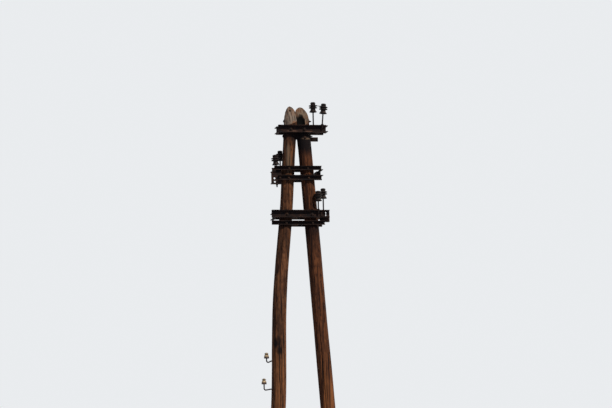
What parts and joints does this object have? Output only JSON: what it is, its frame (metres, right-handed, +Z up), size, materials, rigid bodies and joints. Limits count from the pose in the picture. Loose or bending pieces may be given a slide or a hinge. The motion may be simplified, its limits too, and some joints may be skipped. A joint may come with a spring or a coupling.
{
  "type": "wooden utility pole",
  "caption": "Timber A-shaped utility pole with steel crossarms, pin insulators and hook insulators.",
  "frame": {"origin": "centre of the left leg's foot, at ground level", "axes": "+Z up, +X towards the right leg's foot, +Y away from the front"},
  "size_m": [1.9178, 0.408, 11.291],
  "materials": {
    "timber": "weathered round timber",
    "arm_steel": "dark rusted rolled steel",
    "bolt_steel": "rusted",
    "pin_iron": "dark rusted",
    "hook_iron": "rusted round bar",
    "brown_porcelain": "dark brown glaze",
    "cream_porcelain": "cream and brown glaze"
  },
  "bodies": {
    "root": {"bottom_arm_bolts": "bolt_steel", "bottom_bracket_bolts": "bolt_steel", "bottom_end_bracket": "arm_steel", "bottom_insulator_back": "brown_porcelain", "bottom_insulator_front": "brown_porcelain", "bottom_lower_back": "arm_steel", "bottom_lower_front": "arm_steel", "bottom_pin_back": "pin_iron", "bottom_pin_front": "pin_iron", "bottom_spacer_left": "arm_steel", "bottom_upper_back": "arm_steel", "bottom_upper_front": "arm_steel", "left_leg": "timber", "leg_joint_block": "timber", "leg_joint_bolts": "bolt_steel", "leg_strut": "timber", "lower_hook": "hook_iron", "lower_hook_insulator": "cream_porcelain", "middle_arm_bolts": "bolt_steel", "middle_bracket_bolt": "bolt_steel", "middle_end_bracket": "arm_steel", "middle_insulator_back": "brown_porcelain", "middle_insulator_front": "brown_porcelain", "middle_lower_back": "arm_steel", "middle_lower_front": "arm_steel", "middle_pin_back": "pin_iron", "middle_pin_front": "pin_iron", "middle_spacer_inner": "arm_steel", "middle_spacer_outer": "arm_steel", "middle_upper_back": "arm_steel", "middle_upper_front": "arm_steel", "right_leg": "timber", "strut_rod": "bolt_steel", "stub_arm": "arm_steel", "stub_bolt": "bolt_steel", "top_arm_back": "arm_steel", "top_arm_bolts": "bolt_steel", "top_arm_front": "arm_steel", "top_insulator_back": "brown_porcelain", "top_insulator_front": "brown_porcelain", "top_pin_back": "pin_iron", "top_pin_front": "pin_iron", "top_spacer_left": "arm_steel", "top_spacer_right": "arm_steel", "upper_hook": "hook_iron", "upper_hook_insulator": "cream_porcelain"}
  },
  "joints": []
}
